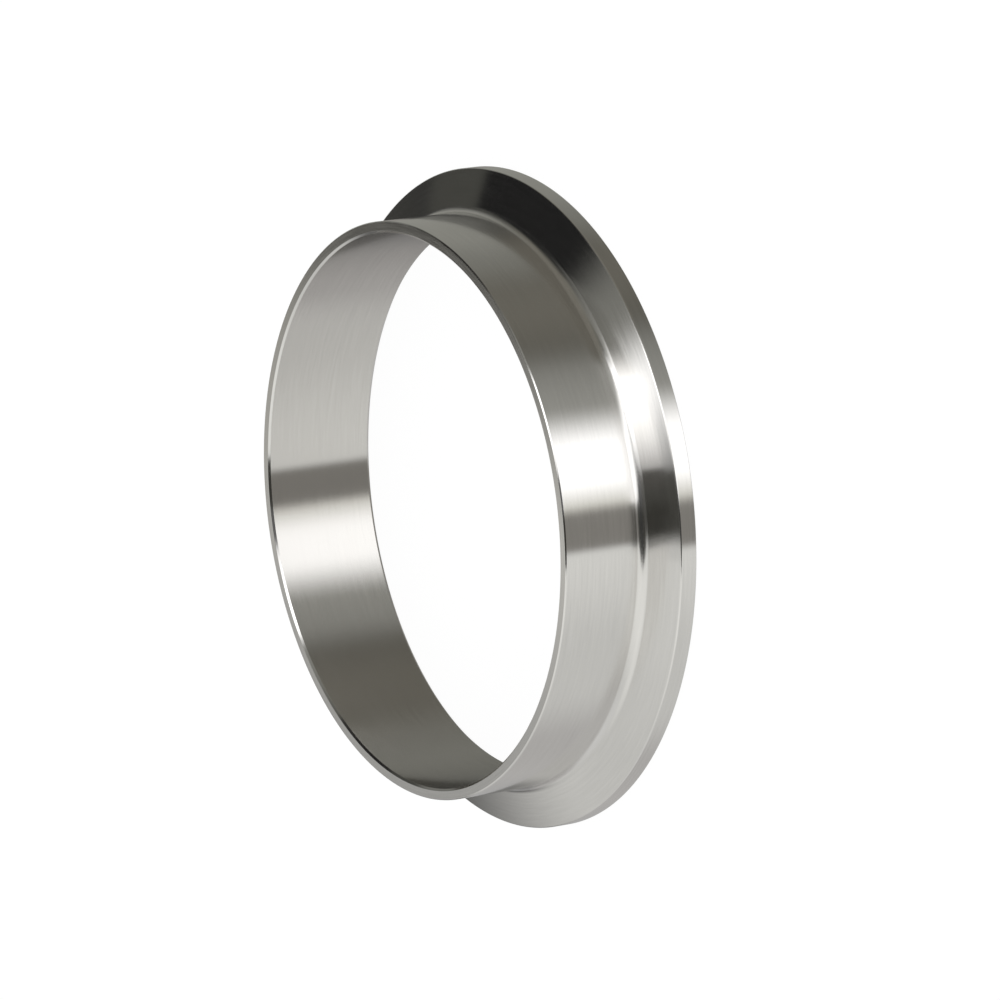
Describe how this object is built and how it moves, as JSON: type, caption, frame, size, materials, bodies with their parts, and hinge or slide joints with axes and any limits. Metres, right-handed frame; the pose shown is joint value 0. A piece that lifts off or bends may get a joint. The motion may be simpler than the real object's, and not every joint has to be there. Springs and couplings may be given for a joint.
{
  "type": "v-band flange",
  "caption": "Turned steel v-band flange: a plain collar that is welded to a tube, and a sloped rim that a V clamp pulls against its mate.",
  "frame": {"origin": "centre of the mating face, on which the ring lies", "axes": "+Z along the bore, from the mating face towards the weld end of the collar; the ring is the same all round, so +X and +Y have no meaning of their own"},
  "size_m": [0.1168, 0.1168, 0.0214],
  "materials": {
    "turned_steel": "satin, with fine turning marks round the axis"
  },
  "bodies": {
    "root": {"v_band_flange": "turned_steel"}
  },
  "joints": []
}
